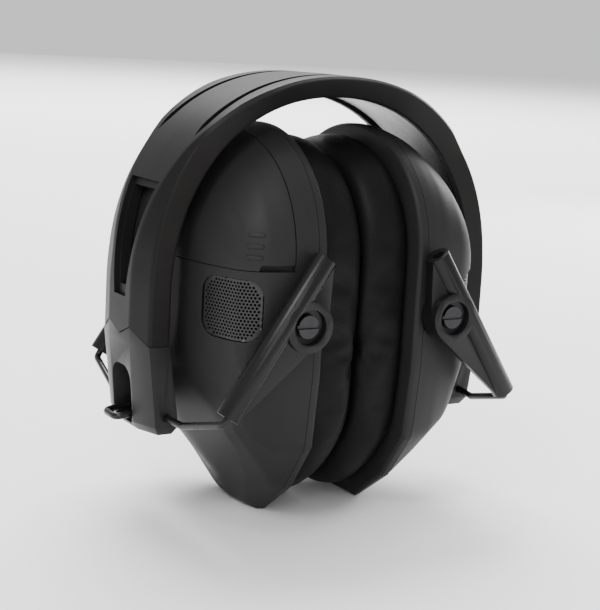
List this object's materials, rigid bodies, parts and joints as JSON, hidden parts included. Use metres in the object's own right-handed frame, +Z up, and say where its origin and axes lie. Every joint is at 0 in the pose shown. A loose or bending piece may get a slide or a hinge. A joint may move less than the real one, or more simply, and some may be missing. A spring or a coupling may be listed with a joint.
{
  "type": "earmuff hearing protector",
  "caption": "Electronic over-ear hearing protector folded into its headband, with padded ear cups on wire-hung arms, sound-pick-up grilles and a battery door.",
  "frame": {"origin": "centre of the folded muff, midway between the cups and midway front to rear, on the plane the cup chins stand on", "axes": "+X from the left cup to the right cup, +Y from the front to the rear, +Z up towards the headband crown"},
  "size_m": [0.1218, 0.0886, 0.1251],
  "materials": {
    "band": "charcoal moulded plastic, fine satin grain",
    "liner": "black, smooth with a soft shine",
    "end_cap": "mid grey moulded plastic, satin",
    "cup": "dark grey soft-touch coating, satin",
    "arm": "black nylon, semi-gloss",
    "wire": "black spring steel wire, glossy",
    "dark_steel": "blackened steel, satin",
    "bush": "turned steel",
    "cushion": "black synthetic leather over soft foam",
    "foam": "dark open-cell foam",
    "mesh": "black perforated sheet, semi-gloss",
    "speaker": "pressed steel",
    "cell": "printed metal sleeve, glossy",
    "board": "green laminate"
  },
  "bodies": {
    "headband": {"headband_crown": "band", "headband_liner_crown": "liner"},
    "left_band": {"left_headband_side": "band", "left_headband_liner": "liner", "left_end_cap": "end_cap"},
    "left_yoke": {"left_wire_yoke": "wire"},
    "left_arms": {"left_front_arm": "arm", "left_rear_arm": "arm"},
    "left_cup": {"left_cup_shell": "cup", "left_rim_plate": "cup", "left_ear_cushion": "cushion", "left_foam_insert": "foam", "left_speaker": "speaker", "left_pivot_screws": "dark_steel", "left_pivot_bushes": "bush", "left_mic_mesh": "mesh", "left_microphone": "speaker", "left_rim_screws": "dark_steel", "battery_door_hinge_pin": "bush", "battery_tray": "arm", "batteries": "cell", "battery_contacts": "bush"},
    "right_band": {"right_headband_side": "band", "right_headband_liner": "liner", "right_end_cap": "end_cap"},
    "right_yoke": {"right_wire_yoke": "wire"},
    "right_arms": {"right_front_arm": "arm", "right_rear_arm": "arm"},
    "right_cup": {"right_cup_shell": "cup", "right_rim_plate": "cup", "right_ear_cushion": "cushion", "right_foam_insert": "foam", "right_speaker": "speaker", "right_pivot_screws": "dark_steel", "right_pivot_bushes": "bush", "right_mic_mesh": "mesh", "right_microphone": "speaker", "right_rim_screws": "dark_steel", "circuit_board": "board", "volume_control": "speaker", "audio_socket": "arm"},
    "battery_door": {"battery_door": "cup"},
    "volume_knob": {"volume_knob": "arm"}
  },
  "joints": [
    {"name": "left_fold", "type": "hinge", "parent": "left_band", "child": "left_yoke", "pos_m": [-0.0499, 0, 0.031], "axis": [0, 1, 0], "range_deg": [0, 92]},
    {"name": "left_spread", "type": "hinge", "parent": "headband", "child": "left_band", "pos_m": [-0.0215, 0, 0.1217], "axis": [0, 1, 0], "range_deg": [0, 35]},
    {"name": "left_slide", "type": "slide", "parent": "left_yoke", "child": "left_arms", "axis": [0.5547, 0, 0.8321], "range_m": [0, 0.0121]},
    {"name": "left_level", "type": "hinge", "parent": "left_arms", "child": "left_cup", "pos_m": [-0.0236, 0, 0.0605], "axis": [0, 1, 0], "range_deg": [-127, 0]},
    {"name": "right_fold", "type": "hinge", "parent": "right_band", "child": "right_yoke", "pos_m": [0.0499, 0, 0.031], "axis": [0, -1, 0], "range_deg": [0, 92]},
    {"name": "right_spread", "type": "hinge", "parent": "headband", "child": "right_band", "pos_m": [0.0215, 0, 0.1217], "axis": [0, -1, 0], "range_deg": [0, 35]},
    {"name": "right_slide", "type": "slide", "parent": "right_yoke", "child": "right_arms", "axis": [-0.5547, 0, 0.8321], "range_m": [0, 0.0121]},
    {"name": "right_level", "type": "hinge", "parent": "right_arms", "child": "right_cup", "pos_m": [0.0236, 0, 0.0605], "axis": [0, -1, 0], "range_deg": [-127, 0]},
    {"name": "battery_door_hinge", "type": "hinge", "parent": "left_cup", "child": "battery_door", "pos_m": [-0.027, 0, 0.0996], "axis": [0, 1, 0], "range_deg": [0, 3]},
    {"name": "volume_turn", "type": "hinge", "parent": "right_cup", "child": "volume_knob", "pos_m": [0.0256, 0.0299, 0.0208], "axis": [0.43, 0.7001, -0.5701], "range_deg": [0, 290]}
  ],
  "couplings": [
    {"joint": "left_spread", "follows": "left_fold", "ratio": 0.38},
    {"joint": "left_slide", "follows": "left_fold", "m_per_rad": 0.007473},
    {"joint": "left_level", "follows": "left_fold", "ratio": -1.38},
    {"joint": "right_spread", "follows": "right_fold", "ratio": 0.38},
    {"joint": "right_slide", "follows": "right_fold", "m_per_rad": 0.007473},
    {"joint": "right_level", "follows": "right_fold", "ratio": -1.38}
  ]
}
